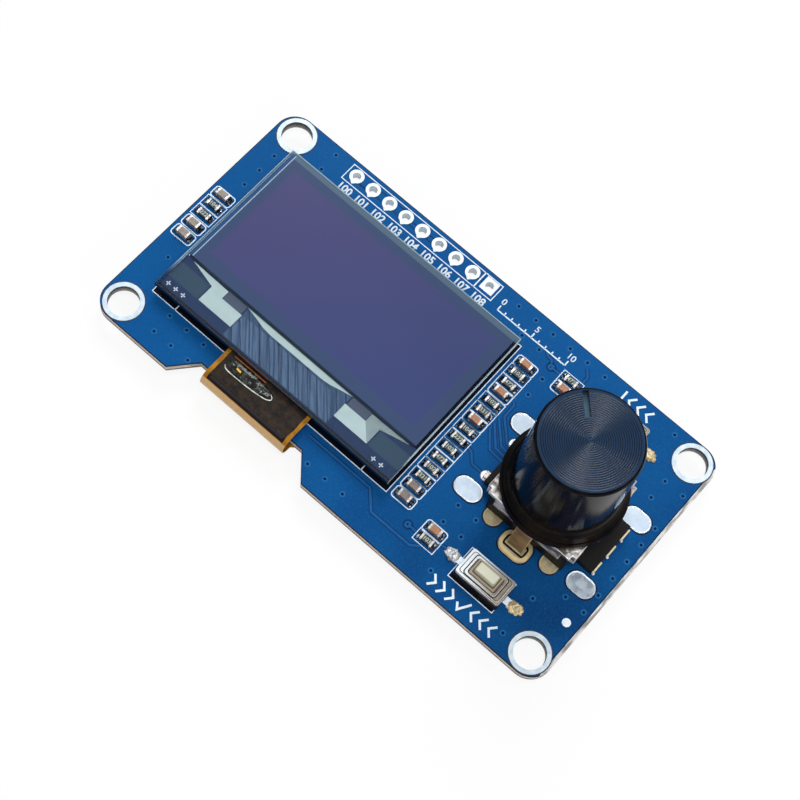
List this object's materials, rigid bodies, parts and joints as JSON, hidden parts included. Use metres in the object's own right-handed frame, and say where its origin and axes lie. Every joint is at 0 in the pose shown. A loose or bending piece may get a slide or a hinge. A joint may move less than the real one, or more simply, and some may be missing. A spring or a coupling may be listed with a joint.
{
  "type": "oled display module with rotary encoder",
  "caption": "Small display board with a glass panel, a turn-and-push knob, push buttons, chip parts and a row of header holes.",
  "frame": {"origin": "centre of the four mounting holes, on the underside of the board", "axes": "+X along the board towards the knob, +Y towards the row of header holes, +Z out of the display's face"},
  "size_m": [0.065, 0.034, 0.0242],
  "materials": {
    "solder_mask": "blue solder mask over glass-fibre laminate, satin",
    "tin_plate": "bright tin plating",
    "solder": "smooth solder",
    "foam": "white foam tape",
    "display_glass": "clear display glass",
    "polarizer": "dark violet-grey film, smooth",
    "electrode": "silvery conductor film",
    "flex_film": "amber polyimide",
    "silicon": "dark polished chip",
    "resin": "clear glossy resin",
    "black_moulding": "black moulding",
    "bright_steel": "tinned sheet steel",
    "nickel_alloy": "nickel-plated die casting",
    "shaft_alloy": "turned aluminium",
    "rotor_moulding": "green moulding",
    "spring_bronze": "bronze leaf",
    "terminal_brass": "plated brass",
    "knob_black": "glossy black moulding with a turned top",
    "button_ivory": "ivory moulding",
    "chip_ceramic": "brown ceramic with tinned ends",
    "silk_ink": "white printed ink",
    "chip_black": "black coated ceramic with tinned ends"
  },
  "bodies": {
    "board": {"back_base": "black_moulding", "back_cover": "bright_steel", "back_dome": "bright_steel", "capacitor_01": "chip_ceramic", "capacitor_04": "chip_ceramic", "capacitor_07": "chip_ceramic", "capacitor_14": "chip_ceramic", "capacitor_15": "chip_ceramic", "capacitor_16": "chip_ceramic", "capacitor_19": "chip_ceramic", "capacitor_20": "chip_ceramic", "capacitor_21": "chip_ceramic", "capacitor_23": "chip_ceramic", "circuit_board": "solder_mask", "confirm_base": "black_moulding", "confirm_cover": "bright_steel", "confirm_dome": "bright_steel", "detent_spring": "spring_bronze", "driver_chip": "silicon", "edge_resin": "resin", "electrode_film": "electrode", "encoder_bushing": "nickel_alloy", "encoder_frame": "bright_steel", "encoder_housing": "black_moulding", "flex_tail": "flex_film", "foam_tape": "foam", "front_glass": "display_glass", "header_pads": "tin_plate", "key_leads": "tin_plate", "mounting_rings": "tin_plate", "polarizer": "polarizer", "push_dome": "bright_steel", "rear_glass": "display_glass", "resistor_02": "chip_black", "resistor_03": "chip_black", "resistor_05": "chip_black", "resistor_06": "chip_black", "resistor_08": "chip_black", "resistor_09": "chip_black", "resistor_10": "chip_black", "resistor_11": "chip_black", "resistor_12": "chip_black", "resistor_13": "chip_black", "resistor_17": "chip_black", "resistor_18": "chip_black", "resistor_22": "chip_black", "resistor_24": "chip_black", "signal_terminals": "terminal_brass", "slot_solder": "solder", "smd_solder": "solder", "switch_terminals": "terminal_brass"},
    "rotor": {"encoder_rotor": "rotor_moulding"},
    "knob": {"knob": "knob_black", "encoder_shaft": "shaft_alloy", "retaining_clip": "bright_steel"},
    "confirm": {"confirm_button": "button_ivory"},
    "back": {"back_button": "button_ivory"}
  },
  "joints": [
    {"name": "knob_turn", "type": "hinge", "parent": "board", "child": "rotor", "pos_m": [0.0211, 0, 0], "axis": [0, 0, 1], "continuous": true},
    {"name": "knob_push", "type": "slide", "parent": "rotor", "child": "knob", "axis": [0, 0, -1], "range_m": [0, 0.0005], "stiffness_N_per_m": 400, "springref_m": -0.004, "deforming": ["push_dome"]},
    {"name": "confirm_press", "type": "slide", "parent": "board", "child": "confirm", "axis": [0, 0, -1], "range_m": [0, 0.00025], "stiffness_N_per_m": 200, "springref_m": -0.002, "deforming": ["confirm_dome"]},
    {"name": "back_press", "type": "slide", "parent": "board", "child": "back", "axis": [0, 0, -1], "range_m": [0, 0.00025], "stiffness_N_per_m": 200, "springref_m": -0.002, "deforming": ["back_dome"]}
  ]
}
